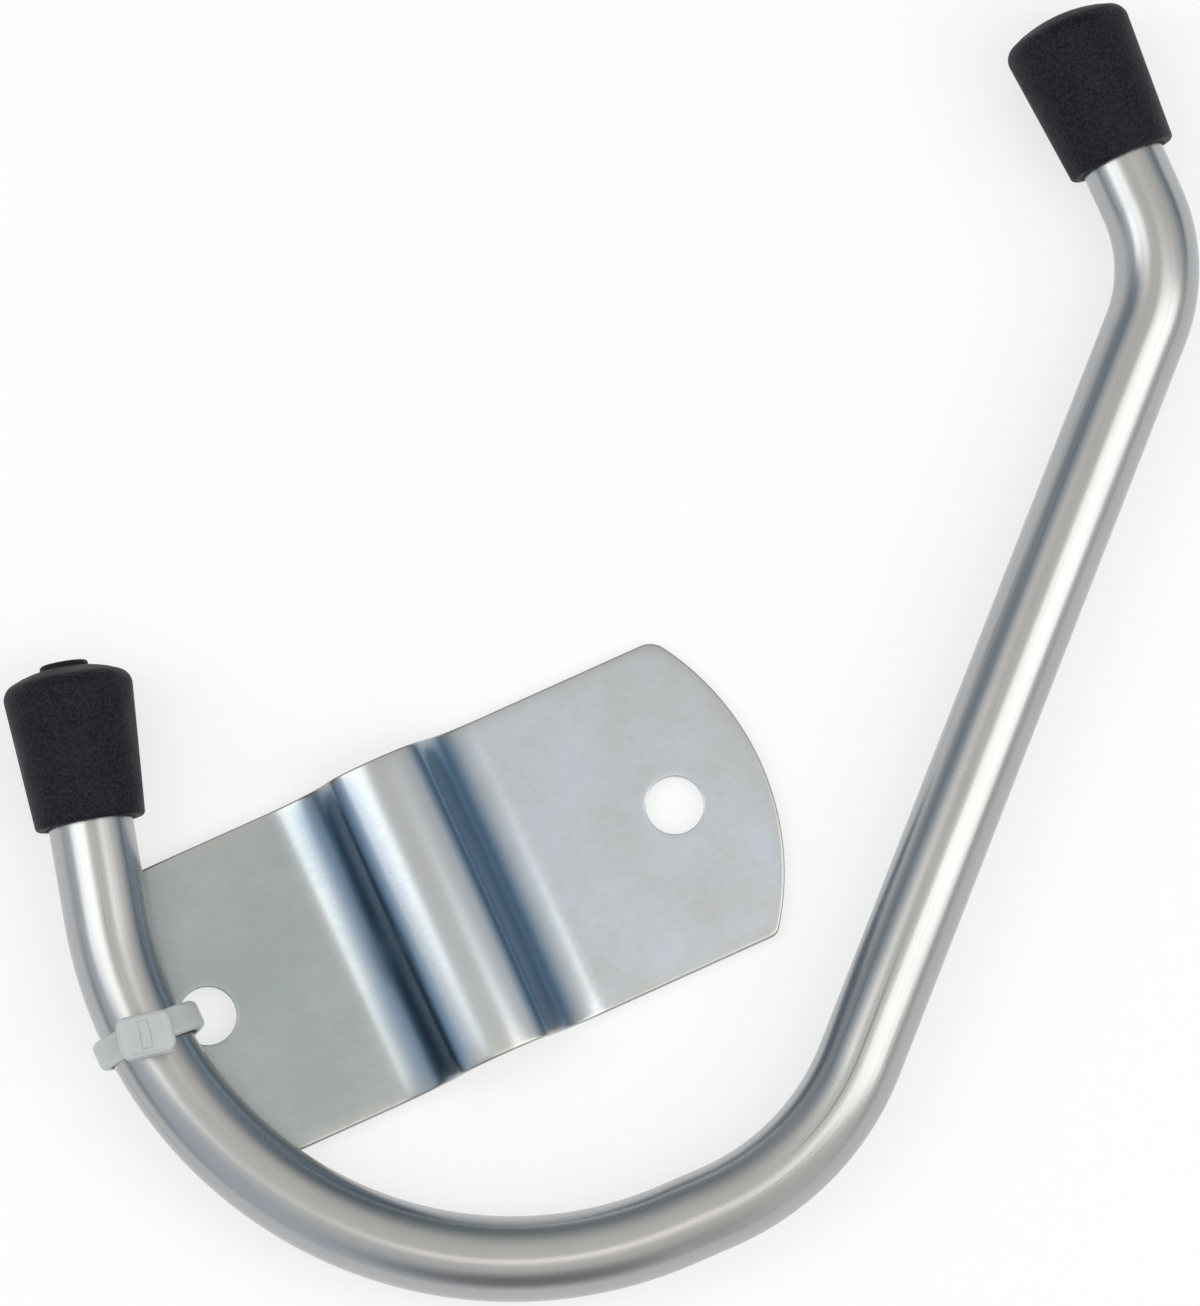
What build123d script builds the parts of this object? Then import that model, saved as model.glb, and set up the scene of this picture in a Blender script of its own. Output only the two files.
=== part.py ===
from build123d import *
from math import atan, cos, degrees, radians, sin, sqrt
import os

# Wire hook with pushed-on end caps, and its wall clip tied to the bend.
# It lies flat as it comes to rest: the floor is z = 0, and the wire's bends all lie in one level plane.

# Wire, in mm and degrees, along its centre line from the short end to the long end
wire_diameter = 8.0
wire_end_chamfer = 0.6
short_arm_angle = 10.0      # short arm, outwards from straight up
short_arm_bare = 9.05       # bare straight wire between the short cap and the cradle bend
cradle_radius = 38.5
cradle_angle = 23.3         # slope of the wire where the cradle bend ends
cradle_run = 4.2            # straight wire after the cradle bend
shank_bend_radius = 25.0
shank_angle = 68.5          # slope of the shank
shank_length = 74.0
tip_bend_radius = 15.5
tip_bend_angle = 45.4
tip_bare = 4.5              # bare straight wire between the tip bend and the long cap
cradle_centre_x = -8.47     # middle of the cradle bend, from the middle of the part
cradle_centre_y = -18.7

# End caps, along their own axis from the mouth
cap_length = 15.0
cap_end_wall = 3.2
cap_mouth_diameter = 10.4
cap_end_diameter = 12.4
cap_dome_rise = 1.5
cap_shoulder_radius = 1.6
cap_mouth_round = 0.35
cap_lead_in = 0.4
gate_disc_diameter = 4.6
gate_disc_height = 0.3
gate_disc_round = 0.12

# Saddle clip, a pressed sheet with a ridge across its middle
sheet = 1.25
clip_width = 30.2
hole_spacing = 48.2
hole_diameter = 5.5
hole_margin = 9.1           # from a hole's centre to the clip's rounded end
end_arc_radius = 25.5
end_arc_offset = 0.5        # the blanked end arcs' centres, above the clip's long axis
upper_corner_radius = 2.2
lower_corner_radius = 1.2
ridge_top_radius = 6.75     # underside of the ridge's flattish top
ridge_top_angle = 24.0      # slope where the top turns into a shoulder
shoulder_radius = 2.55      # underside of the ridge's shoulders
flank_angle = 63.5          # steepest slope of the ridge, between a shoulder and a fold
fold_radius = 6.5           # inside the fold, where the ridge meets a wing
ridge_offset = -0.2         # the ridge's middle, from halfway between the holes
edge_round = 0.6            # rolled edge that the press leaves on the upper side
hole_edge_round = 0.3
clip_angle = 24.4           # the clip's long axis, from the X axis

# Cable tie, holding the near end of the clip up against the cradle bend
tie_angle = 207.8           # where it crosses the cradle bend, seen from the bend's centre
hole_past_wire = 2.0        # from the wire's side to the centre of the hole that the strap goes through
strap_width = 2.75
strap_offset = 0.25         # the strap's middle, above the clip's long axis
strap_thickness = 0.9
strap_slack = 0.4           # the loop's radius, over the wire's, which it crosses at a slight slant
strap_shift = 0.2           # the loop's centre, from the wire's towards the hole
strap_sag = 0.25            # the loop's centre, below the wire's
strap_round = 0.5
seat_gap = 0.02             # between faces that rest on each other
head_length = 5.2
head_width = 3.95
head_offset = -0.1          # the head's middle, above the clip's long axis
head_angle = 11.5           # how far the head is twisted back from the strap's line
head_height = 3.5
head_round = 1.0
head_top_round = 0.5
slot_length = 2.7
slot_width = 1.1
slot_depth = 0.5
tail_width = 2.5            # cut end of the strap, left standing in the slot
tail_thickness = 0.9

# Worked-out sizes
wire_radius = wire_diameter / 2
hole_radius = hole_diameter / 2
clip_reach = hole_spacing / 2 + hole_margin
bore_depth = cap_length - cap_end_wall
under_fold = fold_radius + sheet
shoulder_start = (ridge_top_radius - shoulder_radius) * sin(radians(ridge_top_angle))
fold_start = shoulder_start + (shoulder_radius + under_fold) * sin(radians(flank_angle))
shoulder_level = under_fold - (shoulder_radius + under_fold) * cos(radians(flank_angle))
top_level = shoulder_level - (ridge_top_radius - shoulder_radius) * cos(radians(ridge_top_angle))
saddle_depth = top_level + ridge_top_radius  # inside height of the ridge, less than the wire that it pinches
wire_level = sheet + wire_radius + seat_gap

# The clip leans on the strap that passes under its near end
hole_chord = sqrt(hole_radius**2 - (strap_width / 2 + strap_offset) ** 2)
wire_station = -hole_spacing / 2 - hole_past_wire - wire_radius
tongue_inner = -hole_spacing / 2 - hole_chord + seat_gap
tongue_outer = -clip_reach - seat_gap
clip_lean = degrees(atan(strap_thickness / (clip_reach - tongue_inner)))
lean_sin = sin(radians(clip_lean))
lean_cos = cos(radians(clip_lean))
wire_height = (clip_reach - wire_station) * lean_sin + wire_level * lean_cos

tie_point = Vector(cradle_centre_x, cradle_centre_y, wire_height) + Vector(cradle_radius, 0, 0).rotate(
    Axis.Z, tie_angle
)
clip_along = Vector(lean_cos, 0, -lean_sin).rotate(Axis.Z, clip_angle)
clip_up = Vector(lean_sin, 0, lean_cos).rotate(Axis.Z, clip_angle)
clip_origin = tie_point - clip_along * wire_station - clip_up * wire_level
clip_plane = Plane(origin=clip_origin, x_dir=clip_along, z_dir=clip_up)
clip_side = Plane(origin=clip_origin, x_dir=clip_along, z_dir=-clip_plane.y_dir)
clip_rise = Axis(clip_origin, clip_up)

os.makedirs("parts", exist_ok=True)


# Wire hook: a round section swept along straight runs and tangent bends
cradle_start = 180 + short_arm_angle
cradle_turn = 90 + cradle_angle - short_arm_angle
with BuildPart() as wire_hook:
    with BuildLine(Plane.XY.offset(wire_height)):
        cradle = CenterArc((cradle_centre_x, cradle_centre_y), cradle_radius, cradle_start, cradle_turn)
        short_arm = Line(cradle @ 0 - (cradle % 0) * (short_arm_bare + bore_depth), cradle @ 0)
        seat = Line(cradle @ 1, cradle @ 1 + (cradle % 1) * cradle_run)
        shank_bend = JernArc(seat @ 1, seat % 1, shank_bend_radius, shank_angle - cradle_angle)
        shank = Line(shank_bend @ 1, shank_bend @ 1 + (shank_bend % 1) * shank_length)
        tip_bend = JernArc(shank @ 1, shank % 1, tip_bend_radius, tip_bend_angle)
        tip = Line(tip_bend @ 1, tip_bend @ 1 + (tip_bend % 1) * (tip_bare + bore_depth))
    with BuildSketch(Plane(origin=short_arm @ 0, z_dir=short_arm % 0)):
        Circle(wire_radius)
    sweep()
    chamfer(wire_hook.faces().filter_by(GeomType.PLANE).edges(), wire_end_chamfer)
wire_hook.part.label = "wire_hook"
export_step(wire_hook.part, "parts/wire_hook.step")


def cap_profile() -> Sketch:
    """Half section of an end cap: the mouth lies on X, and the cap's axis is Y."""
    with BuildSketch() as profile:
        with BuildLine():
            inside = Polyline(
                (0, bore_depth),
                (wire_radius, bore_depth),
                (wire_radius, cap_lead_in),
                (wire_radius + cap_lead_in, 0),
                (cap_mouth_diameter / 2, 0),
                (cap_end_diameter / 2, cap_length - cap_dome_rise),
            )
            dome = TangentArc((0, cap_length), inside @ 1, tangent=(1, 0))
            Line(dome @ 0, inside @ 0)
        make_face()
        fillet(profile.vertices().group_by(Axis.X)[-1], cap_shoulder_radius)
        mouth_corners = profile.vertices().group_by(Axis.Y)[0].sort_by(Axis.X)
        fillet(mouth_corners[-1], cap_mouth_round)
    return profile.sketch


def cap_section(mouth: Vector, outward: Vector) -> Plane:
    """Plane of a cap's half section: Y runs out along the wire's end from the cap's mouth."""
    return Plane(origin=mouth, x_dir=outward.rotate(Axis.Z, -90), z_dir=(0, 0, 1))


# Short end cap, with the moulding's gate disc on its dome
short_section = cap_section(short_arm @ 0 + (short_arm % 0) * bore_depth, (short_arm % 0) * -1)
short_axis = Axis(short_section.origin, short_section.y_dir)
with BuildPart() as short_end_cap:
    with BuildSketch(short_section):
        add(cap_profile())
    revolve(axis=short_axis)
    with BuildSketch(short_section):
        with Locations((0, cap_length - cap_dome_rise)):
            Rectangle(gate_disc_diameter / 2, cap_dome_rise + gate_disc_height, align=(Align.MIN, Align.MIN))
    revolve(axis=short_axis)
    disc_rim = short_end_cap.edges().filter_by(GeomType.CIRCLE).sort_by(short_axis)[-1]
    fillet(disc_rim, gate_disc_round)
short_end_cap.part.label = "short_end_cap"
export_step(short_end_cap.part, "parts/short_end_cap.step")

# Long end cap
long_section = cap_section(tip @ 1 - (tip % 1) * bore_depth, tip % 1)
with BuildPart() as long_end_cap:
    with BuildSketch(long_section):
        add(cap_profile())
    revolve(axis=Axis(long_section.origin, long_section.y_dir))
long_end_cap.part.label = "long_end_cap"
export_step(long_end_cap.part, "parts/long_end_cap.step")

# Saddle clip: the ridge's section of tangent arcs, cut to its outline and pierced
shoulder_turn = flank_angle - ridge_top_angle
with BuildPart() as saddle_clip:
    with BuildSketch(clip_side):
        with BuildLine():
            near_fold = CenterArc((ridge_offset - fold_start, under_fold), under_fold, -90, flank_angle)
            far_fold = CenterArc((ridge_offset + fold_start, under_fold), under_fold, -90, -flank_angle)
            near_shoulder, far_shoulder = ridge_offset - shoulder_start, ridge_offset + shoulder_start
            CenterArc((near_shoulder, shoulder_level), shoulder_radius, 90 + flank_angle, -shoulder_turn)
            CenterArc((far_shoulder, shoulder_level), shoulder_radius, 90 - ridge_top_angle, -shoulder_turn)
            CenterArc((ridge_offset, top_level), ridge_top_radius, 90 + ridge_top_angle, -2 * ridge_top_angle)
            Line((-clip_reach, 0), near_fold @ 0)
            Line(far_fold @ 0, (clip_reach, 0))
            offset(amount=sheet, side=Side.LEFT)
        make_face()
    extrude(amount=clip_width / 2, both=True)
    with BuildSketch(clip_plane) as outline:
        with Locations((0, end_arc_offset)):
            SlotCenterToCenter(2 * (clip_reach - end_arc_radius), 2 * end_arc_radius)
        Rectangle(2 * clip_reach, clip_width, mode=Mode.INTERSECT)
        fillet(outline.vertices().group_by(Axis.Y)[-1], upper_corner_radius)
        fillet(outline.vertices().group_by(Axis.Y)[0], lower_corner_radius)
    extrude(amount=saddle_depth + 2 * sheet, mode=Mode.INTERSECT)
    with BuildSketch(clip_plane):
        with GridLocations(hole_spacing, 0, 2, 1):
            Circle(hole_radius)
    extrude(amount=sheet, mode=Mode.SUBTRACT)
    hole_rims = saddle_clip.edges(Select.LAST).filter_by(GeomType.CIRCLE).group_by(clip_rise)
    fillet(hole_rims[-1], hole_edge_round)
    wing_top = saddle_clip.faces().filter_by(clip_plane).group_by(clip_rise)[1][0]
    end_edge = wing_top.outer_wire().edges().filter_by(GeomType.CIRCLE).sort_by(SortBy.LENGTH)[-1]
    fillet(end_edge, edge_round)  # follows the smooth rim all the way round
saddle_clip.part.label = "saddle_clip"
export_step(saddle_clip.part, "parts/saddle_clip.step")

# Cable tie: a strap pulled round the wire and the clip's end, as the hull of both, and its head on top
loop_station = wire_station + strap_shift
loop_level = wire_level - strap_sag
with BuildSketch(mode=Mode.PRIVATE) as wrapped:
    with BuildLine():
        CenterArc((loop_station, loop_level), wire_radius + strap_slack, 0, 360)
        Polyline(
            (tongue_outer, sheet),
            (tongue_outer, 0),
            (tongue_inner, 0),
            (tongue_inner, sheet),
            close=True,
        )
    make_hull()
head_bottom = loop_level + wire_radius + strap_slack
strap_plane = clip_side.offset(-strap_offset)
head_plane = clip_plane.offset(head_bottom)
with BuildPart() as cable_tie:
    with BuildSketch(strap_plane):
        add(wrapped.sketch)
        offset(amount=strap_thickness)
        add(wrapped.sketch, mode=Mode.SUBTRACT)
    extrude(amount=strap_width / 2, both=True)
    strap_sides = cable_tie.faces().filter_by(strap_plane)
    fillet([edge for side in strap_sides for edge in side.outer_wire().edges()], strap_round)
    with BuildSketch(head_plane):
        with Locations((wire_station, head_offset)):
            RectangleRounded(head_length, head_width, head_round, rotation=-head_angle)
    extrude(amount=head_height)
    fillet(cable_tie.faces().sort_by(clip_rise)[-1].edges(), head_top_round)
    with BuildSketch(head_plane.offset(head_height)):
        with Locations((wire_station, head_offset)):
            Rectangle(slot_width, slot_length, rotation=-head_angle)
            Rectangle(tail_thickness, tail_width, rotation=-head_angle, mode=Mode.SUBTRACT)
    extrude(amount=-slot_depth, mode=Mode.SUBTRACT)
cable_tie.part.label = "cable_tie"
export_step(cable_tie.part, "parts/cable_tie.step")
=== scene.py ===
"""Looks of a zinc-plated wire hook with end caps, a saddle clip and a cable tie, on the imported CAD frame."""

import logging
import math
from collections.abc import Callable
from dataclasses import dataclass, field
from enum import Enum
from typing import Any

import bmesh
import bpy
from mathutils import Matrix, Vector


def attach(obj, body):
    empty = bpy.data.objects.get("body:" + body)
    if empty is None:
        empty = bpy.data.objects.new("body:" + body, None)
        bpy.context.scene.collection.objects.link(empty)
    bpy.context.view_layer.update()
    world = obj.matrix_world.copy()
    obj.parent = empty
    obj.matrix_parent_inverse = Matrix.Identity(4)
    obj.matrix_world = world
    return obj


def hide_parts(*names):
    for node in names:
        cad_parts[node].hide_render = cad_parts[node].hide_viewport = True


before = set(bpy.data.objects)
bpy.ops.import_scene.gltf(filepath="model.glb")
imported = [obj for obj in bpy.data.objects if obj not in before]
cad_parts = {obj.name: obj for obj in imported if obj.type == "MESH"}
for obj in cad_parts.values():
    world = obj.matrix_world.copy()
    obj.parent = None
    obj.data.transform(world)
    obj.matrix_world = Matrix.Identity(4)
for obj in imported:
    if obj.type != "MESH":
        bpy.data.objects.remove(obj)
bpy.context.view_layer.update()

LOG = logging.getLogger("wire_hook")
MM = 0.001
TOUCH = 1e-6  # a point this near to a line or a ring, in metres, lies on it
MERGE_GAP = 0.004  # points nearer than this, in mm, become one
NOISE_SPREAD = {"From Min": 0.3, "From Max": 0.7}  # nearly all of a noise's values lie between these


class Pick(Enum):
    """What an edit-mode selection takes hold of."""

    POINTS = "VERT"
    EDGES = "EDGE"
    FACES = "FACE"


class WireEnd(Enum):
    """The two capped ends of the wire, with the CAD node of each one's cap."""

    SHORT = "short_end_cap"
    LONG = "long_end_cap"


class Side(Enum):
    """The clip's two wings: the tied one lies towards -X, the free one towards +X."""

    TIED = -1
    FREE = 1


# Modelling by hand


def hold(piece: bpy.types.Object) -> None:
    """Makes one piece the only selected and the active object.

    Args:
        piece: The piece to work on.
    """
    bpy.ops.object.select_all(action="DESELECT")
    piece.select_set(True)
    bpy.context.view_layer.objects.active = piece


def choose(piece: bpy.types.Object, pick: Pick, test: Callable[[Any], bool]) -> int:
    """Selects, in edit mode, only the points, edges or faces that pass a test.

    Args:
        piece: The piece in edit mode.
        pick: What is selected.
        test: Says whether one point, edge or face is wanted.

    Returns:
        How many were selected.
    """
    bpy.ops.mesh.select_mode(type=pick.value)
    bpy.ops.mesh.select_all(action="DESELECT")
    shape = bmesh.from_edit_mesh(piece.data)
    shape.normal_update()
    everything = {Pick.POINTS: shape.verts, Pick.EDGES: shape.edges, Pick.FACES: shape.faces}[pick]
    chosen = [part for part in everything if test(part)]
    for part in chosen:
        part.select_set(True)
    shape.select_flush_mode()
    bmesh.update_edit_mesh(piece.data)
    return len(chosen)


def start_ring(name: str, points: int, radius: float, fill: str = "NOTHING") -> bpy.types.Object:
    """Adds a ring of points round the Z axis and opens it in edit mode, all selected.

    Args:
        name: The new piece's name.
        points: How many points the ring has.
        radius: The ring's radius, in mm.
        fill: How the ring is filled, as the circle operator names it.

    Returns:
        The new piece, in edit mode.
    """
    bpy.ops.object.select_all(action="DESELECT")
    bpy.ops.mesh.primitive_circle_add(vertices=points, radius=radius * MM, fill_type=fill)
    piece = bpy.context.active_object
    piece.name = piece.data.name = name
    bpy.ops.object.mode_set(mode="EDIT")
    return piece


def extrude(step: Vector) -> None:
    """Extrudes what is selected.

    Args:
        step: How far the new points move, in mm.
    """
    bpy.ops.mesh.extrude_region_move(TRANSFORM_OT_translate={"value": step * MM})


def sweep_round(steps: int, angle: float, centre: Vector, axis: Vector) -> None:
    """Spins what is selected about an axis, by the right-hand rule.

    Args:
        steps: How many stretches the turn has.
        angle: The turn, in radians. The operator counts it the other way.
        centre: A point on the axis, in mm.
        axis: The axis.
    """
    bpy.ops.mesh.spin(steps=steps, angle=-angle, center=centre * MM, axis=axis)


def lay_ring(piece: bpy.types.Object, middle: Vector, places: list[Vector]) -> None:
    """Moves the selected ring of points to new places, in order round a middle.

    Args:
        piece: The piece in edit mode.
        middle: The point that the ring goes round, in mm.
        places: The new places, in mm, anticlockwise seen from above.
    """
    shape = bmesh.from_edit_mesh(piece.data)
    first = places[0] - middle
    margin = 1e-5
    start = math.atan2(first.y, first.x) - margin

    def bearing(point: bmesh.types.BMVert) -> float:
        """Angle of a point round the middle, from just before the first place."""
        arm = point.co - middle * MM
        return (math.atan2(arm.y, arm.x) - start) % math.tau

    ring = sorted((point for point in shape.verts if point.select), key=bearing)
    for point, place in zip(ring, places, strict=True):
        point.co = place * MM
    bmesh.update_edit_mesh(piece.data)


def round_off(
    piece: bpy.types.Object, reach: float, steps: int, test: Callable[[Any], bool], clamp: bool = False
) -> None:
    """Rounds the edges that pass a test.

    Args:
        piece: The piece in edit mode.
        reach: How far the round reaches from the edge, in mm.
        steps: How many faces the round has.
        test: Says whether one edge is wanted.
        clamp: Whether rounds that would meet are held apart.
    """
    count = choose(piece, Pick.EDGES, test)
    LOG.info("%s: %d edges rounded by %.2f mm", piece.name, count, reach)
    bpy.ops.mesh.bevel(offset=reach * MM, segments=steps, profile=0.5, clamp_overlap=clamp)


def add_modifier(piece: bpy.types.Object, kind: str, **settings: Any) -> None:
    """Adds one modifier to a piece and applies it.

    Args:
        piece: The piece, in object mode.
        kind: The modifier's type.
        **settings: The modifier's values.
    """
    hold(piece)
    modifier = piece.modifiers.new(kind.lower(), kind)
    for name, value in settings.items():
        setattr(modifier, name, value)
    bpy.ops.object.modifier_apply(modifier=modifier.name)


def close_up(piece: bpy.types.Object) -> None:
    """Merges doubles and points every face outwards.

    Args:
        piece: The piece in edit mode.
    """
    bpy.ops.mesh.select_all(action="SELECT")
    bpy.ops.mesh.remove_doubles(threshold=MERGE_GAP * MM)
    bpy.ops.mesh.normals_make_consistent(inside=False)


def hand_over(
    piece: bpy.types.Object, node: str, finish: bpy.types.Material, smooth: float = 38.0
) -> bpy.types.Object:
    """Shades and dresses a finished piece, and puts it in place of its CAD node.

    Args:
        piece: The finished piece, in object mode.
        node: The CAD node that the piece stands for.
        finish: The piece's material.
        smooth: Edges under this angle, in degrees, are shaded smooth.

    Returns:
        The same piece.
    """
    hold(piece)
    bpy.ops.object.shade_smooth_by_angle(angle=math.radians(smooth))
    piece.data.materials.clear()
    piece.data.materials.append(finish)
    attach(piece, "root")
    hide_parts(node)
    LOG.info("%s stands for %s, %d faces", piece.name, node, len(piece.data.polygons))
    return piece


# Colours and nodes


def linear(colour: str) -> tuple[float, float, float, float]:
    """Turns an sRGB hex colour to linear.

    Args:
        colour: Six hex digits after a number sign.

    Returns:
        Linear red, green and blue, and an alpha of 1.
    """
    shares = [int(colour[k : k + 2], 16) / 255 for k in (1, 3, 5)]
    red, green, blue = (c / 12.92 if c <= 0.04045 else ((c + 0.055) / 1.055) ** 2.4 for c in shares)
    return red, green, blue, 1.0


def per_mm(size: float) -> float:
    """Texture scale at which one feature is this many millimetres across."""
    return 1 / (size * MM)


def feed(tree: bpy.types.NodeTree, node: bpy.types.Node, inputs: dict[str | int, Any]) -> None:
    """Gives a node's inputs their values and links.

    Args:
        tree: The node tree.
        node: The node.
        inputs: A value, or a socket to link from, for each named or numbered input.
    """
    for name, value in inputs.items():
        if isinstance(value, bpy.types.NodeSocket):
            tree.links.new(value, node.inputs[name])
        else:
            node.inputs[name].default_value = value


def add_node(
    tree: bpy.types.NodeTree, kind: str, inputs: dict[str | int, Any] | None = None, **settings: Any
) -> bpy.types.Node:
    """Adds one node with its settings, values and links.

    Args:
        tree: The node tree.
        kind: The node's type.
        inputs: A value, or a socket to link from, for each named or numbered input.
        **settings: The node's own properties.

    Returns:
        The new node.
    """
    node = tree.nodes.new(kind)
    for name, value in settings.items():
        setattr(node, name, value)
    feed(tree, node, inputs or {})
    return node


def new_material(name: str) -> tuple[bpy.types.Material, bpy.types.NodeTree, bpy.types.Node]:
    """Starts a node material.

    Args:
        name: The real material's name.

    Returns:
        The material, its node tree and its shader.
    """
    material = bpy.data.materials.new(name)
    material.use_nodes = True
    return material, material.node_tree, material.node_tree.nodes["Principled BSDF"]


# Finishes, with the sizes and depths of their patterns in mm


@dataclass(frozen=True)
class PlatedWire:
    """Bright zinc on drawn steel wire: a satin mirror with draw lines and a faint crystalline grain."""

    bright: str = "#b3b4b5"
    dull: str = "#a4a7aa"
    die_line: str = "#7b7674"
    draw_line: float = 0.45  # real draw lines are about 0.1 mm apart, too fine to show
    draw_length: float = 45.0
    line_depth: float = 0.006
    die_line_from: float = 0.66  # height of the lines' noise from which a die line shows
    die_line_full: float = 0.76
    die_line_share: float = 0.8
    grain: float = 0.35  # plating crystals are finer still
    grain_depth: float = 0.004
    relief: float = 0.5
    cloud: float = 9.0
    cloud_fray: float = 0.7
    smoothest: float = 0.21
    roughest: float = 0.31

    def make(self) -> bpy.types.Material:
        """Makes the wire's material, whose lines follow the bends by the wire's own attribute."""
        material, tree, shader = new_material("zinc_plated_drawn_wire")
        unbent = add_node(tree, "ShaderNodeAttribute", attribute_name="unbent").outputs["Vector"]
        stretch = (per_mm(self.draw_length), per_mm(self.draw_line), per_mm(self.draw_line))
        drawn = add_node(tree, "ShaderNodeMapping", {"Vector": unbent, "Scale": stretch}).outputs[0]
        lines = add_node(
            tree, "ShaderNodeTexNoise", {"Vector": drawn, "Scale": 1.0, "Detail": 3.0}
        ).outputs[0]
        grain = add_node(
            tree, "ShaderNodeTexNoise", {"Vector": unbent, "Scale": per_mm(self.grain), "Detail": 2.0}
        ).outputs[0]
        cloud = add_node(
            tree,
            "ShaderNodeTexNoise",
            {"Vector": unbent, "Scale": per_mm(self.cloud), "Detail": 9.0, "Roughness": self.cloud_fray},
        ).outputs[0]
        clouded = add_node(
            tree,
            "ShaderNodeMix",
            {0: cloud, 6: linear(self.dull), 7: linear(self.bright)},
            data_type="RGBA",
        ).outputs[2]
        shown = {"From Min": self.die_line_from, "From Max": self.die_line_full}
        deep = add_node(
            tree, "ShaderNodeMapRange", {"Value": lines, **shown, "To Max": self.die_line_share}
        ).outputs[0]
        tint = add_node(
            tree, "ShaderNodeMix", {0: deep, 6: clouded, 7: linear(self.die_line)}, data_type="RGBA"
        ).outputs[2]
        rough = add_node(
            tree,
            "ShaderNodeMapRange",
            {"Value": lines, **NOISE_SPREAD, "To Min": self.smoothest, "To Max": self.roughest},
        ).outputs[0]
        scored = add_node(
            tree,
            "ShaderNodeBump",
            {"Strength": self.relief, "Distance": self.line_depth * MM, "Height": lines},
        ).outputs[0]
        pitted = add_node(
            tree,
            "ShaderNodeBump",
            {"Strength": self.relief, "Distance": self.grain_depth * MM, "Height": grain, "Normal": scored},
        ).outputs[0]
        feed(tree, shader, {"Metallic": 1.0, "Base Color": tint, "Roughness": rough, "Normal": pitted})
        return material


@dataclass(frozen=True)
class PlatedSheet:
    """Bright zinc on pressed cold-rolled sheet: a soft mirror, cloudy, with faint rolling lines."""

    violet: str = "#bcc6d2"
    green: str = "#9da7ac"
    rose: str = "#afb6bc"
    warm: str = "#b1b4b2"
    bend: str = "#6787a3"  # painted shade: a dark blue laid on the ridge's folds and flanks, standing in for the dark room and the folds that they mirror
    rim: str = "#adaeae"  # and a plain grey along the sheared edges
    roll_line: float = 0.5  # real rolling lines are about 0.05 mm apart, too fine to show
    roll_length: float = 10.0
    grain: float = 0.4
    grain_depth: float = 0.007
    relief: float = 0.7
    cloud: float = 9.0
    cloud_fray: float = 0.72
    warm_from: float = 0.42  # height of the cloud's noise from which the warm tinge shows
    warm_full: float = 0.72
    warm_share: float = 0.7
    smoothest: float = 0.235
    roughest: float = 0.265
    tinge: float = 16.0  # half the length over which the film's tinge goes from green to violet
    turn: float = 24.4  # the sheet was rolled along the clip
    middle: float = -23.0  # where the tinge is halfway, along the clip from the part's middle

    def make(self) -> bpy.types.Material:
        """Makes the clip's material."""
        material, tree, shader = new_material("zinc_plated_rolled_sheet")
        place = add_node(tree, "ShaderNodeTexCoord").outputs["Object"]
        along = add_node(
            tree, "ShaderNodeMapping", {"Vector": place, "Rotation": (0.0, 0.0, math.radians(-self.turn))}
        ).outputs[0]
        stretch = (per_mm(self.roll_length), per_mm(self.roll_line), per_mm(self.roll_line))
        rolled = add_node(tree, "ShaderNodeMapping", {"Vector": along, "Scale": stretch}).outputs[0]
        lines = add_node(
            tree, "ShaderNodeTexNoise", {"Vector": rolled, "Scale": 1.0, "Detail": 3.0}
        ).outputs[0]
        grain = add_node(
            tree, "ShaderNodeTexNoise", {"Vector": place, "Scale": per_mm(self.grain), "Detail": 2.0}
        ).outputs[0]
        cloud = add_node(
            tree,
            "ShaderNodeTexNoise",
            {"Vector": place, "Scale": per_mm(self.cloud), "Detail": 9.0, "Roughness": self.cloud_fray},
        ).outputs[0]
        station = add_node(tree, "ShaderNodeSeparateXYZ", {"Vector": along}).outputs["X"]
        start, stop = (self.middle - self.tinge) * MM, (self.middle + self.tinge) * MM
        film = add_node(
            tree,
            "ShaderNodeMapRange",
            {"Value": station, "From Min": start, "From Max": stop},
            interpolation_type="SMOOTHSTEP",
        ).outputs[0]
        passivated = add_node(tree, "ShaderNodeValToRGB", {"Fac": film})
        bands = passivated.color_ramp.elements
        bands[0].color, bands[1].color = linear(self.green), linear(self.violet)
        bands.new(0.5).color = linear(self.rose)
        shown = {"From Min": self.warm_from, "From Max": self.warm_full}
        patchy = add_node(
            tree, "ShaderNodeMapRange", {"Value": cloud, **shown, "To Max": self.warm_share}
        ).outputs[0]
        tint = add_node(
            tree,
            "ShaderNodeMix",
            {0: patchy, 6: passivated.outputs[0], 7: linear(self.warm)},
            data_type="RGBA",
        ).outputs[2]
        # The bend share lays painted shade on the ridge's folds and flanks. The rim share lays a plain grey
        # along the sheared edges.
        for name, colour in (("bend", self.bend), ("rim", self.rim)):
            share = add_node(tree, "ShaderNodeAttribute", attribute_name=name).outputs["Fac"]
            tint = add_node(
                tree, "ShaderNodeMix", {0: share, 6: tint, 7: linear(colour)}, data_type="RGBA"
            ).outputs[2]
        rough = add_node(
            tree,
            "ShaderNodeMapRange",
            {"Value": lines, **NOISE_SPREAD, "To Min": self.smoothest, "To Max": self.roughest},
        ).outputs[0]
        pitted = add_node(
            tree,
            "ShaderNodeBump",
            {"Strength": self.relief, "Distance": self.grain_depth * MM, "Height": grain},
        ).outputs[0]
        feed(tree, shader, {"Metallic": 1.0, "Base Color": tint, "Roughness": rough, "Normal": pitted})
        return material


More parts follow.
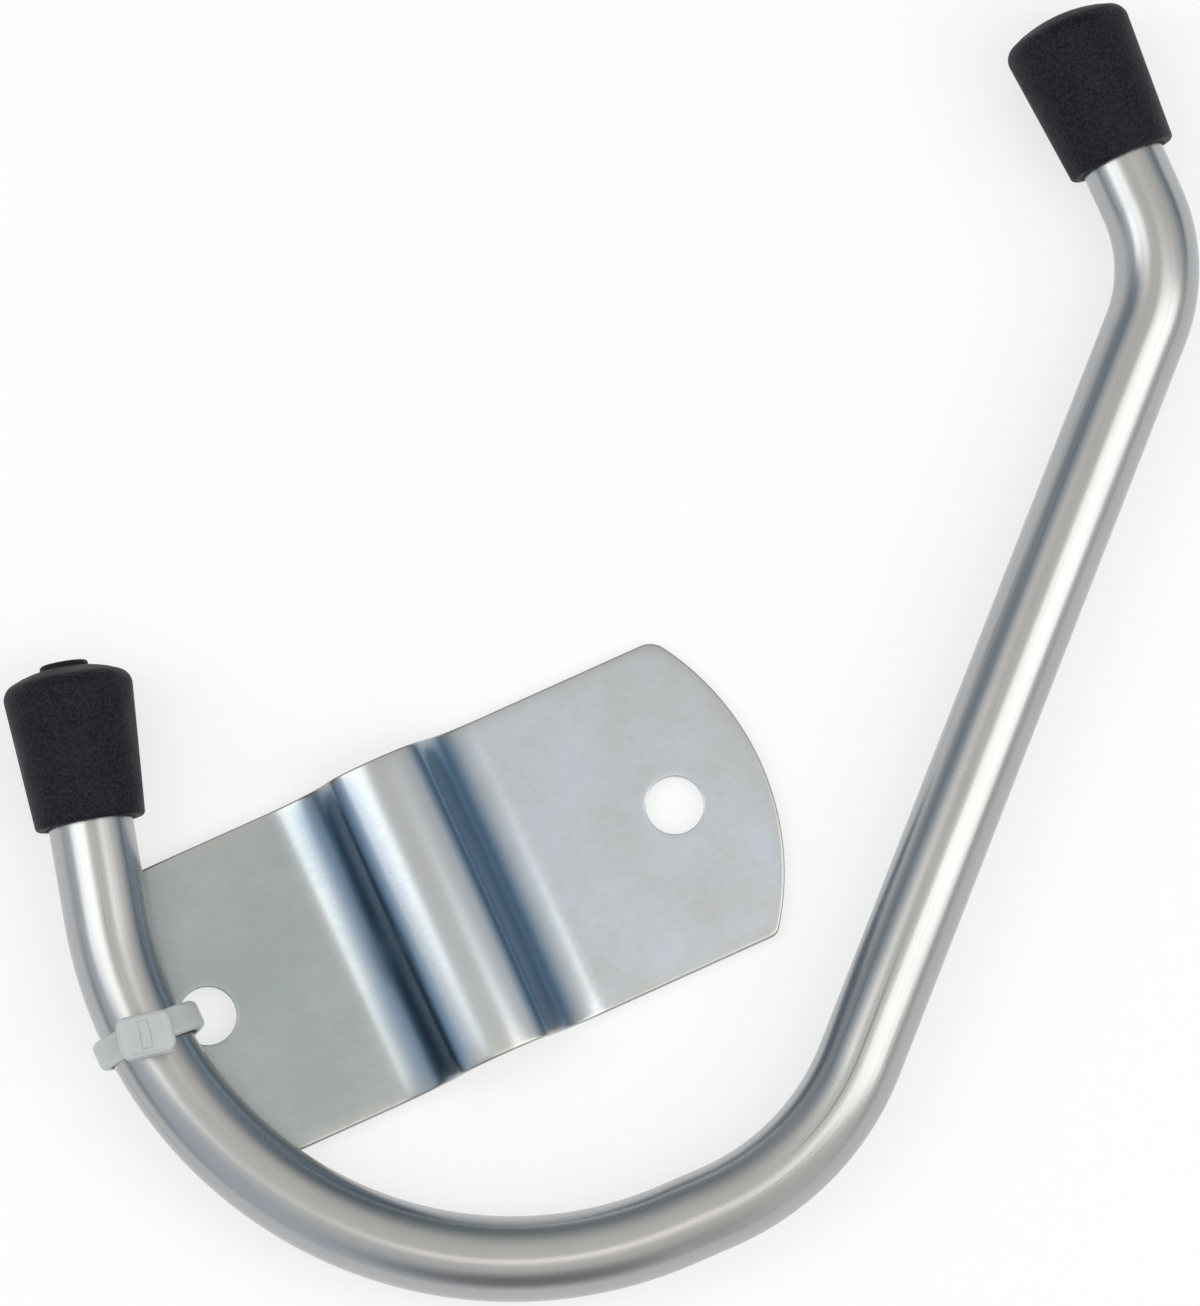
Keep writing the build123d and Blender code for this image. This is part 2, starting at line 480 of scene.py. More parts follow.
@dataclass(frozen=True)
class MouldedVinyl:
    """Soft PVC moulded in an eroded tool: almost black, with a fine even grain and a dull sheen."""

    deep: str = "#000004"
    pale: str = "#24242e"
    grain: float = 0.28  # a real eroded grain is about 0.15 mm across, too fine to show
    grain_depth: float = 0.1
    mottle: float = 3.0
    smoothest: float = 0.46
    roughest: float = 0.62
    sheen: float = 0.15

    def make(self) -> bpy.types.Material:
        """Makes the caps' material."""
        material, tree, shader = new_material("moulded_soft_vinyl")
        place = add_node(tree, "ShaderNodeTexCoord").outputs["Object"]
        grain = add_node(
            tree, "ShaderNodeTexNoise", {"Vector": place, "Scale": per_mm(self.grain), "Detail": 3.0}
        ).outputs[0]
        pits = add_node(tree, "ShaderNodeMapRange", {"Value": grain, **NOISE_SPREAD}).outputs[0]
        mottle = add_node(
            tree, "ShaderNodeTexNoise", {"Vector": place, "Scale": per_mm(self.mottle), "Detail": 3.0}
        ).outputs[0]
        tint = add_node(
            tree,
            "ShaderNodeMix",
            {0: pits, 6: linear(self.deep), 7: linear(self.pale)},
            data_type="RGBA",
        ).outputs[2]
        rough = add_node(
            tree,
            "ShaderNodeMapRange",
            {"Value": mottle, **NOISE_SPREAD, "To Min": self.smoothest, "To Max": self.roughest},
        ).outputs[0]
        eroded = add_node(
            tree, "ShaderNodeBump", {"Strength": 1.0, "Distance": self.grain_depth * MM, "Height": grain}
        ).outputs[0]
        feed(tree, shader, {"Specular IOR Level": self.sheen})
        feed(tree, shader, {"Base Color": tint, "Roughness": rough, "Normal": eroded})
        return material


@dataclass(frozen=True)
class NaturalNylon:
    """Undyed nylon 6.6, moulded: milky, light goes a millimetre into it, with a waxy sheen."""

    milk: str = "#c0c5c6"
    shade: str = "#b2b8ba"
    cloud: float = 2.0
    ripple: float = 0.02
    relief: float = 0.3
    depth: float = 0.9
    scatter: float = 0.6
    spread: tuple[float, float, float] = (1.0, 1.0, 0.95)
    ior: float = 1.53
    smoothest: float = 0.33
    roughest: float = 0.45

    def make(self) -> bpy.types.Material:
        """Makes the tie's material."""
        material, tree, shader = new_material("natural_nylon")
        place = add_node(tree, "ShaderNodeTexCoord").outputs["Object"]
        cloud = add_node(
            tree, "ShaderNodeTexNoise", {"Vector": place, "Scale": per_mm(self.cloud), "Detail": 3.0}
        ).outputs[0]
        tint = add_node(
            tree,
            "ShaderNodeMix",
            {0: cloud, 6: linear(self.shade), 7: linear(self.milk)},
            data_type="RGBA",
        ).outputs[2]
        rough = add_node(
            tree,
            "ShaderNodeMapRange",
            {"Value": cloud, **NOISE_SPREAD, "To Min": self.smoothest, "To Max": self.roughest},
        ).outputs[0]
        waxy = add_node(
            tree, "ShaderNodeBump", {"Strength": self.relief, "Distance": self.ripple * MM, "Height": cloud}
        ).outputs[0]
        feed(tree, shader, {"IOR": self.ior, "Subsurface Weight": self.scatter})
        feed(tree, shader, {"Subsurface Radius": self.spread, "Subsurface Scale": self.depth * MM})
        feed(tree, shader, {"Base Color": tint, "Roughness": rough, "Normal": waxy})
        return material


@dataclass(frozen=True)
class StudioCard:
    """Matt white card under the part, with hardly any tooth."""

    white: str = "#f8f9fb"
    pale: str = "#f6f7f9"
    tooth: float = 2.0  # the tooth of real card is too fine to show
    roughness: float = 0.9
    sheen: float = 0.1
    glow: float = 0.64  # share of plain white that the camera and the metal see, which thins the shadow

    def make(self) -> bpy.types.Material:
        """Makes the floor's material."""
        material, tree, shader = new_material("matt_white_card")
        place = add_node(tree, "ShaderNodeTexCoord").outputs["Object"]
        tooth = add_node(
            tree, "ShaderNodeTexNoise", {"Vector": place, "Scale": per_mm(self.tooth), "Detail": 2.0}
        ).outputs[0]
        tint = add_node(
            tree,
            "ShaderNodeMix",
            {0: tooth, 6: linear(self.pale), 7: linear(self.white)},
            data_type="RGBA",
        ).outputs[2]
        feed(tree, shader, {"Specular IOR Level": self.sheen})
        feed(tree, shader, {"Base Color": tint, "Roughness": self.roughness})
        path = add_node(tree, "ShaderNodeLightPath").outputs
        seen = path["Is Camera Ray"]
        for ray in ("Is Glossy Ray", "Is Transmission Ray"):
            seen = add_node(tree, "ShaderNodeMath", {0: seen, 1: path[ray]}, operation="MAXIMUM").outputs[0]
        share = add_node(tree, "ShaderNodeMath", {0: seen, 1: self.glow}, operation="MULTIPLY").outputs[0]
        white = add_node(tree, "ShaderNodeEmission", {"Color": linear("#ffffff"), "Strength": 1.0}).outputs[0]
        mixed = add_node(tree, "ShaderNodeMixShader", {0: share, 1: shader.outputs[0], 2: white}).outputs[0]
        tree.links.new(mixed, tree.nodes["Material Output"].inputs["Surface"])
        return material


# The part, in mm and degrees as its source has it


@dataclass(frozen=True)
class Fit:
    """Sizes by which the pieces fit together."""

    wire_radius: float = 4.0
    bore_depth: float = 11.8
    cradle_radius: float = 38.5
    cradle_x: float = -8.47
    cradle_y: float = -18.7
    sheet: float = 1.25
    hole_spacing: float = 48.2
    hole_radius: float = 2.75
    clip_reach: float = 33.2
    clip_angle: float = 24.4
    tie_angle: float = 207.8
    hole_past_wire: float = 2.0
    strap_width: float = 2.75
    strap_offset: float = 0.25
    strap_thickness: float = 0.9
    seat_gap: float = 0.02

    @property
    def wire_level(self) -> float:
        """Height of the wire's centre above the clip's underside."""
        return self.sheet + self.wire_radius + self.seat_gap

    @property
    def wire_station(self) -> float:
        """Where the wire crosses the clip, from the clip's middle."""
        return -self.hole_spacing / 2 - self.hole_past_wire - self.wire_radius

    @property
    def tongue_inner(self) -> float:
        """Where the strap stands in the tied hole, from the clip's middle."""
        chord = math.sqrt(self.hole_radius**2 - (self.strap_width / 2 + self.strap_offset) ** 2)
        return -self.hole_spacing / 2 - chord + self.seat_gap

    @property
    def clip_lean(self) -> float:
        """Slope of the clip, which rests on the strap under its tied end, in radians."""
        return math.atan(self.strap_thickness / (self.clip_reach - self.tongue_inner))

    @property
    def wire_height(self) -> float:
        """Height of the wire's centre line above the floor."""
        lean = self.clip_lean
        return (self.clip_reach - self.wire_station) * math.sin(lean) + self.wire_level * math.cos(lean)

    @property
    def cradle_centre(self) -> Vector:
        """Middle of the cradle bend."""
        return Vector((self.cradle_x, self.cradle_y, self.wire_height))

    @property
    def clip_place(self) -> Matrix:
        """Place of the clip's own axes, in metres: X along it, Y across it, Z up from its underside."""
        turn = math.radians(self.tie_angle)
        tie_point = self.cradle_centre + self.cradle_radius * Vector((math.cos(turn), math.sin(turn), 0.0))
        turned = Matrix.Rotation(math.radians(self.clip_angle), 4, "Z")
        axes = turned @ Matrix.Rotation(self.clip_lean, 4, "Y")
        origin = tie_point - axes @ Vector((self.wire_station, 0.0, self.wire_level))
        return Matrix.Translation(origin * MM) @ axes


@dataclass(frozen=True)
class Run:
    """One stretch of the wire's centre line, level, straight or bent to the left."""

    start: Vector
    heading: float
    length: float
    radius: float = 0.0

    @property
    def turn(self) -> float:
        """How far the stretch turns left, in radians."""
        return self.length / self.radius if self.radius else 0.0

    @property
    def ahead(self) -> Vector:
        """Direction in which the stretch starts."""
        return Vector((math.cos(self.heading), math.sin(self.heading), 0.0))

    @property
    def left(self) -> Vector:
        """Direction to the left of the start."""
        return Vector((-math.sin(self.heading), math.cos(self.heading), 0.0))

    @property
    def centre(self) -> Vector:
        """Middle of the bend."""
        return self.start + self.left * self.radius

    @property
    def end(self) -> Vector:
        """Where the stretch ends."""
        if not self.radius:
            return self.start + self.ahead * self.length
        return self.centre + Matrix.Rotation(self.turn, 3, "Z") @ (self.start - self.centre)

    def unbend(self, point: Vector) -> tuple[float, float]:
        """Says where a point lies along and beside the stretch.

        Args:
            point: The point, in mm.

        Returns:
            How far it is along the stretch and to the left of it, in mm.
        """
        if not self.radius:
            return (point - self.start).dot(self.ahead), (point - self.start).dot(self.left)
        arm, first = (point - self.centre).xy, (self.start - self.centre).xy
        angle = math.atan2(first.cross(arm), first.dot(arm))
        return angle * self.radius, self.radius - arm.length


@dataclass
class WireHook:
    """The bent wire: a short arm, a wide cradle, a long shank and a tip bent back."""

    fit: Fit
    short_arm_angle: float = 10.0
    short_arm_bare: float = 9.05
    cradle_angle: float = 23.3
    cradle_run: float = 4.2
    shank_bend_radius: float = 25.0
    shank_angle: float = 68.5
    shank_length: float = 74.0
    tip_bend_radius: float = 15.5
    tip_bend_angle: float = 45.4
    tip_bare: float = 4.5
    end_chamfer: float = 0.6
    sides: int = 72
    bend_step: float = 2.0
    finish: PlatedWire = field(default_factory=PlatedWire)

    def runs(self) -> list[Run]:
        """Lays the centre line out from the short end to the long end.

        Returns:
            The stretches in order.
        """
        fit = self.fit
        cradle_turn = math.radians(90 + self.cradle_angle - self.short_arm_angle)
        shank_turn = math.radians(self.shank_angle - self.cradle_angle)
        tip_turn = math.radians(self.tip_bend_angle)
        stretches = [
            (self.short_arm_bare + fit.bore_depth, 0.0),
            (cradle_turn * fit.cradle_radius, fit.cradle_radius),
            (self.cradle_run, 0.0),
            (shank_turn * self.shank_bend_radius, self.shank_bend_radius),
            (self.shank_length, 0.0),
            (tip_turn * self.tip_bend_radius, self.tip_bend_radius),
            (self.tip_bare + fit.bore_depth, 0.0),
        ]
        heading = math.radians(self.short_arm_angle - 90)
        ahead = Vector((math.cos(heading), math.sin(heading), 0.0))
        outwards = Vector((math.sin(heading), -math.cos(heading), 0.0))
        start = fit.cradle_centre + outwards * fit.cradle_radius - ahead * stretches[0][0]
        laid = []
        for length, radius in stretches:
            run = Run(start, heading, length, radius)
            laid.append(run)
            start, heading = run.end, heading + run.turn
        return laid

    def ends(self) -> dict[WireEnd, tuple[Vector, Vector]]:
        """Finds where each cap's mouth is.

        Returns:
            For each end, the mouth's middle in mm and the direction out along the wire.
        """
        runs = self.runs()
        first, last = runs[0], runs[-1]
        depth = self.fit.bore_depth
        return {
            WireEnd.SHORT: (first.start + first.ahead * depth, -first.ahead),
            WireEnd.LONG: (last.end - last.ahead * depth, last.ahead),
        }

    def build(self) -> bpy.types.Object:
        """Draws a round section along the centre line, as wire is fed and bent.

        Returns:
            The dressed wire.
        """
        runs = self.runs()
        piece = start_ring("plated_wire", self.sides, self.fit.wire_radius)
        bpy.ops.object.mode_set(mode="OBJECT")
        piece.rotation_euler = (math.pi / 2, 0.0, runs[0].heading + math.pi / 2)
        piece.location = runs[0].start * MM
        bpy.ops.object.transform_apply(location=True, rotation=True, scale=True)
        bpy.ops.object.mode_set(mode="EDIT")
        bpy.ops.mesh.select_all(action="SELECT")
        for run in runs:
            if run.radius:
                steps = round(math.degrees(run.turn) / self.bend_step)
                sweep_round(steps, run.turn, run.centre, Vector((0.0, 0.0, 1.0)))
            else:
                extrude(run.ahead * run.length)
        wire_width = 2 * self.fit.wire_radius * MM
        for place in (runs[0].start * MM, runs[-1].end * MM):
            choose(
                piece,
                Pick.EDGES,
                lambda edge: edge.is_boundary and all((v.co - place).length < wire_width for v in edge.verts),
            )
            bpy.ops.mesh.edge_face_add()
            bpy.ops.mesh.bevel(offset=self.end_chamfer * MM, segments=1)
        close_up(piece)
        bpy.ops.object.mode_set(mode="OBJECT")
        self.unroll(piece, runs)
        return hand_over(piece, "wire_hook", self.finish.make())

    def unroll(self, piece: bpy.types.Object, runs: list[Run]) -> None:
        """Keeps each point's place on the straight wire before bending, for the draw lines.

        Args:
            piece: The bent wire.
            runs: Its stretches in order.
        """
        slack = 0.01
        reach = self.fit.wire_radius + slack
        unbent = piece.data.attributes.new("unbent", "FLOAT_VECTOR", "POINT")
        for point, kept in zip(piece.data.vertices, unbent.data):
            place = point.co / MM
            passed = 0.0
            for run in runs:
                along, beside = run.unbend(place)
                if -slack <= along <= run.length + slack and abs(beside) <= reach:
                    kept.vector = Vector((passed + along, beside, place.z - run.start.z)) * MM
                    break
                passed += run.length


@dataclass
class EndCap:
    """A moulded cap, widening from its mouth to a low dome."""

    fit: Fit
    end: WireEnd
    length: float = 15.0
    mouth_diameter: float = 10.4
    end_diameter: float = 12.4
    dome_rise: float = 1.5
    shoulder: float = 1.05  # from the shoulder's corner to where its round of 1.6 mm begins
    mouth_round: float = 0.35
    lead_in: float = 0.4
    gate_disc_diameter: float = 4.6
    gate_disc_height: float = 0.42
    gate_disc_round: float = 0.32
    gate_disc_slope: float = 0.1  # how far the disc's rim lies below its middle
    gate_disc_level: float = 0.6  # share of the disc's radius that is level
    dome_rings: tuple[float, ...] = (4.3, 3.5, 2.9)  # radii of the dome's rings outside the disc's place
    tip_rings: tuple[float, ...] = (1.7, 1.1, 0.5)  # and inside it, where there is no disc
    sides: int = 96
    finish: MouldedVinyl = field(default_factory=MouldedVinyl)

    @property
    def lid(self) -> float:
        """Height of the gate disc's middle, from the mouth."""
        return self.length + self.gate_disc_height

    def dome(self, radius: float) -> float:
        """Height of the dome at a radius, from the mouth."""
        rim = self.end_diameter / 2
        ball = (rim**2 + self.dome_rise**2) / (2 * self.dome_rise)
        return self.length - ball + math.sqrt(ball**2 - radius**2)

    def rings(self) -> list[tuple[float, float]]:
        """Lists the rings that the cap is drawn up through.

        Returns:
            Radius and height from the mouth of each ring, from the bore's end round to the dome.
        """
        bore, mouth, rim = self.fit.wire_radius, self.mouth_diameter / 2, self.end_diameter / 2
        inside = [(bore, self.fit.bore_depth), (bore, self.lead_in), (bore + self.lead_in, 0.0)]
        outside = [(mouth, 0.0), ((mouth + rim) / 2, self.dome(rim) / 2), (rim, self.dome(rim))]
        disc = self.gate_disc_diameter / 2
        top = [(radius, self.dome(radius)) for radius in (*self.dome_rings, disc)]
        if self.end is WireEnd.SHORT:
            top += [(disc, self.lid - self.gate_disc_slope), (disc * self.gate_disc_level, self.lid)]
        else:
            top += [(radius, self.dome(radius)) for radius in self.tip_rings]
        return inside + outside + top

    def build(self, mouth: Vector, outward: Vector) -> bpy.types.Object:
        """Draws the cap up ring by ring and puts it on the wire.

        Args:
            mouth: Middle of the cap's mouth, in mm.
            outward: Direction out along the wire.

        Returns:
            The dressed cap.
        """
        rings = self.rings()
        radius, height = rings[0]
        piece = start_ring(self.end.value.replace("end_", ""), self.sides, radius, "TRIFAN")
        bpy.ops.transform.translate(value=(0.0, 0.0, height * MM))
        choose(piece, Pick.EDGES, lambda edge: edge.is_boundary)
        for wider, higher in rings[1:]:
            extrude(Vector((0.0, 0.0, higher - height)))
            scale = wider / radius
            bpy.ops.transform.resize(value=(scale, scale, 1.0), center_override=(0.0, 0.0, higher * MM))
            radius, height = wider, higher
        bpy.ops.mesh.merge(type="CENTER")
        close_up(piece)
        rim, disc = self.end_diameter / 2, self.gate_disc_diameter / 2
        self.soften(piece, rim, self.dome(rim), self.shoulder, steps=8)
        self.soften(piece, self.mouth_diameter / 2, 0.0, self.mouth_round, steps=4)
        if self.end is WireEnd.SHORT:
            self.soften(piece, disc, self.lid - self.gate_disc_slope, self.gate_disc_round, steps=5)
        bpy.ops.object.mode_set(mode="OBJECT")
        place = outward.to_track_quat("Z", "Y").to_matrix().to_4x4()
        piece.data.transform(Matrix.Translation(mouth * MM) @ place)
        return hand_over(piece, self.end.value, self.finish.make())

    def soften(self, piece: bpy.types.Object, radius: float, height: float, reach: float, steps: int) -> None:
        """Rounds one of the cap's rings.

        Args:
            piece: The cap in edit mode, on its own axis.
            radius: The ring's radius, in mm.
            height: The ring's height from the mouth, in mm.
            reach: How far the round reaches from the ring, in mm.
            steps: How many faces the round has.
        """

        def on_ring(edge: bmesh.types.BMEdge) -> bool:
            """Says whether both of an edge's points lie on the ring."""
            level = all(abs(v.co.z - height * MM) < TOUCH for v in edge.verts)
            return level and all(abs(v.co.xy.length - radius * MM) < TOUCH for v in edge.verts)

        round_off(piece, reach, steps, on_ring)


@dataclass
class SaddleClip:
    """The pressed clip: two wings with a screw hole each and a rounded ridge between them."""

    fit: Fit
    width: float = 30.2
    end_arc_radius: float = 25.5
    end_arc_offset: float = 0.5
    upper_corner: float = 2.2
    lower_corner: float = 1.2
    top_radius: float = 8.0  # the ridge's radii are those of its upper side
    top_slope: float = 24.0
    shoulder_radius: float = 3.8
    flank_slope: float = 63.5
    fold_radius: float = 6.5
    ridge_offset: float = -0.2
    edge_round: float = 0.18
    hole_round: float = 0.1
    burr_round: float = 0.08
    roll_depth: float = 0.05  # how far the upper side sinks towards the sheared edge
    roll_reach: float = 0.9
    crown: float = 0.17  # the upper side's fall from the middle to the long edges
    fold_shade_level: float = 0.985  # the painted fold shade begins where the normal's rise falls below this
    fold_shade_ramp: float = 0.27  # and is full where it has fallen by this much more
    fold_shade_peak: float = 1.5  # on steeper flanks it fades again from this, leaving a paler painted streak
    fold_shade_fade: float = 0.45  # by this much for each ramp
    rim_power: float = 1.5  # how much narrower the grey rim is than the roll
    insets: tuple[float, ...] = (0.4, 0.75, 1.2, 1.8, 2.8, 4.4)  # how far the rim's rings lie inside it
    inner_lines: tuple[float, ...] = (6.8, 9.2, 12.0)  # and the ridge's other lines, from a long edge
    bend_steps: int = 10  # faces round each fold and shoulder of the ridge
    top_steps: int = 12
    hole_rings: tuple[float, ...] = (0.6, 1.3)  # how far the rings round a hole lie outside it
    finish: PlatedSheet = field(default_factory=PlatedSheet)

    @property
    def fold_start(self) -> float:
        """From the ridge's middle to where a fold begins."""
        top, flank = (math.sin(math.radians(slope)) for slope in (self.top_slope, self.flank_slope))
        return self.top_radius * top + self.shoulder_radius * (flank - top) + self.fold_radius * flank

    def hole(self, side: Side) -> Vector:
        """Middle of one wing's hole."""
        return Vector((side.value * self.fit.hole_spacing / 2, 0.0, 0.0))

    def fold(self, side: Side) -> float:
        """Where one wing's fold begins, along the clip."""
        return self.ridge_offset + side.value * self.fold_start

    def across(self) -> list[float]:
        """Stations across the clip, closer together towards its long edges.

        Returns:
            The stations from one long edge to the other.
        """
        half = self.width / 2
        upper = [half - inset for inset in (0.0, *self.insets, *self.inner_lines)]
        return [-y for y in upper] + [0.0] + upper[::-1]

    def rim(self, side: Side) -> list[Vector]:
        """Traces one wing's rim, anticlockwise about its hole.

        Args:
            side: The wing.

        Returns:
            The rim's points.
        """
        half, arc = self.width / 2, self.end_arc_radius
        arc_centre = Vector((self.fit.clip_reach - arc, self.end_arc_offset, 0.0))
        inner = abs(self.fold(side))

        def bow(centre: Vector, radius: float, start: float, stop: float, steps: int) -> list[Vector]:
            """Points on an arc, both ends included."""
            angles = [start + (stop - start) * k / steps for k in range(steps + 1)]
            return [centre + radius * Vector((math.cos(a), math.sin(a), 0.0)) for a in angles]

        def corner(radius: float, level: float) -> tuple[Vector, float]:
            """Middle of a rounded corner, and the direction in which it meets the end arc."""
            rise = level - self.end_arc_offset
            centre = arc_centre + Vector((math.sqrt((arc - radius) ** 2 - rise**2), rise, 0.0))
            return centre, math.atan2(rise, centre.x - arc_centre.x)

        low, low_angle = corner(self.lower_corner, self.lower_corner - half)
        high, high_angle = corner(self.upper_corner, half - self.upper_corner)
        span = 9
        lower = [Vector((inner + (low.x - inner) * k / span, -half, 0.0)) for k in range(span)]
        upper = [Vector((high.x + (inner - high.x) * (k + 1) / span, half, 0.0)) for k in range(span)]
        points = lower + bow(low, self.lower_corner, -math.pi / 2, low_angle, steps=6)
        points += bow(arc_centre, arc, low_angle, high_angle, steps=34)[1:-1]
        points += bow(high, self.upper_corner, high_angle, math.pi / 2, steps=8) + upper
        points += [Vector((inner, y, 0.0)) for y in self.across()[-2:0:-1]]
        if side is Side.FREE:
            return points
        return [Vector((-p.x, p.y, 0.0)) for p in reversed(points)]

    def wing(self, side: Side) -> bpy.types.Object:
        """Draws one wing out from its hole to its rim.

        Args:
            side: The wing.

        Returns:
            The wing's underside, in object mode, on the clip's own axes.
        """
        rim, middle = self.rim(side), self.hole(side)
        piece = start_ring("wing", len(rim), self.fit.hole_radius)
        bearings = [(p - middle).normalized() for p in rim]
        lay_ring(piece, Vector((0.0, 0.0, 0.0)), [middle + b * self.fit.hole_radius for b in bearings])
        rings = [[middle + b * (self.fit.hole_radius + out) for b in bearings] for out in self.hole_rings]
        rings += [[p - b * inset for p, b in zip(rim, bearings)] for inset in reversed(self.insets)]
        for places in [*rings, rim]:
            extrude(Vector((0.0, 0.0, 0.0)))
            lay_ring(piece, middle, places)
        bpy.ops.object.mode_set(mode="OBJECT")
        return piece

    def build(self) -> bpy.types.Object:
        """Presses the ridge between the wings, gives the sheet its thickness and rolls its upper edges.

        Returns:
            The dressed clip.
        """
        free = self.wing(Side.FREE)
        piece = self.wing(Side.TIED)
        hold(piece)
        bpy.ops.object.mode_set(mode="EDIT")
        near = self.fold(Side.TIED)
        choose(piece, Pick.EDGES, lambda edge: all(abs(v.co.x - near * MM) < TOUCH for v in edge.verts))
        self.press_ridge(Vector((near, 0.0, 0.0)))
        bpy.ops.object.mode_set(mode="OBJECT")
        free.select_set(True)
        bpy.ops.object.join()
        piece.name = piece.data.name = "pressed_clip"
        bpy.ops.object.mode_set(mode="EDIT")
        close_up(piece)
        if not choose(piece, Pick.FACES, lambda face: face.normal.z > 0.5):
            bpy.ops.mesh.select_all(action="SELECT")
            bpy.ops.mesh.flip_normals()
        bpy.ops.object.mode_set(mode="OBJECT")
        upper_points = len(piece.data.vertices)
        add_modifier(piece, "SOLIDIFY", thickness=self.fit.sheet * MM, offset=1.0, use_even_offset=True)
        self.crown_and_roll(piece, upper_points)
        bpy.ops.object.mode_set(mode="EDIT")
        self.round_edges(piece)
        bpy.ops.object.mode_set(mode="OBJECT")
        piece.data.transform(self.fit.clip_place)
        hand_over(piece, "saddle_clip", self.finish.make())
        add_modifier(piece, "WEIGHTED_NORMAL", keep_sharp=True, weight=50)
        return piece

    def press_ridge(self, start: Vector) -> None:
        """Spins the selected edge of the tied wing through the ridge's arcs, up to the free wing.

        Args:
            start: Where the first fold begins, in mm.
        """
        fold = (self.fold_radius + self.fit.sheet, self.flank_slope, self.bend_steps)
        easing = self.top_slope - self.flank_slope
        shoulder = (self.fit.sheet - self.shoulder_radius, easing, self.bend_steps)
        top = (self.fit.sheet - self.top_radius, -2 * self.top_slope, self.top_steps)
        slope = 0.0
        for radius, turn, steps in (fold, shoulder, top, shoulder, fold):
            centre = start + radius * Vector((-math.sin(slope), 0.0, math.cos(slope)))
            sweep_round(steps, -math.radians(turn), centre, Vector((0.0, 1.0, 0.0)))
            slope += math.radians(turn)
            start = centre - radius * Vector((-math.sin(slope), 0.0, math.cos(slope)))

    def crown_and_roll(self, piece: bpy.types.Object, upper_points: int) -> None:
        """Sinks the upper side a little towards its edges, as shearing and pressing leave it.

        Args:
            piece: The clip with its thickness, on its own axes.
            upper_points: How many points the upper side has, which come before the underside's.
        """
        half, arc = self.width / 2, self.end_arc_radius
        points = piece.data.vertices
        for name in ("bend", "rim"):
            piece.data.attributes.new(name, "FLOAT", "POINT")
        bend, rim = piece.data.attributes["bend"].data, piece.data.attributes["rim"].data
        for upper, under in zip(points[:upper_points], points[upper_points:]):
            place = under.co / MM
            roll = math.exp((abs(place.y) - half) / self.roll_reach)
            end = abs(place.x) - (self.fit.clip_reach - arc)
            if end > 0:
                roll += math.exp((math.hypot(end, place.y - self.end_arc_offset) - arc) / self.roll_reach)
            sink = self.roll_depth * roll + self.crown * (place.y / half) ** 2
            up = (upper.co - under.co).normalized()
            upper.co -= up * sink * MM
            # The bend share is painted shade: it grows as the upper side steepens into the ridge's folds, then
            # fades again on the steepest flanks and leaves a paler painted streak there.
            steepness = (self.fold_shade_level - up.z) / self.fold_shade_ramp
            fading_shade = self.fold_shade_peak - self.fold_shade_fade * steepness
            bend[upper.index].value = max(0.0, min(steepness, 1.0, fading_shade))
            rim[upper.index].value = min(1.0, roll**self.rim_power)

    def round_edges(self, piece: bpy.types.Object) -> None:
        """Rounds the sheet's upper edges and breaks its lower ones.

        Args:
            piece: The clip in edit mode, on its own axes.
        """
        margin = 0.1
        wall, side_slope = 0.3, 0.4  # a wall's normal rises less than wall, a side's more than side_slope
        reach = (self.fit.hole_radius + margin) * MM
        holes = [self.hole(side) * MM for side in Side]

        def by_hole(edge: bmesh.types.BMEdge) -> bool:
            """Says whether an edge is on a hole's rim."""
            return any(all((v.co - hole).xy.length < reach for v in edge.verts) for hole in holes)

        def corner(edge: bmesh.types.BMEdge, upper: bool) -> bool:
            """Says whether an edge lies between the sheet's sheared wall and its upper or lower side."""
            slopes = sorted((face.normal.z for face in edge.link_faces), key=abs)
            if len(slopes) != 2 or abs(slopes[0]) >= wall:
                return False
            return slopes[1] > side_slope if upper else slopes[1] < -side_slope

        for edge_round, steps, test in (
            (self.edge_round, 6, lambda edge: corner(edge, True) and not by_hole(edge)),
            (self.hole_round, 4, lambda edge: corner(edge, True) and by_hole(edge)),
            (self.burr_round, 2, lambda edge: corner(edge, False)),
        ):
            round_off(piece, edge_round, steps, test, clamp=True)


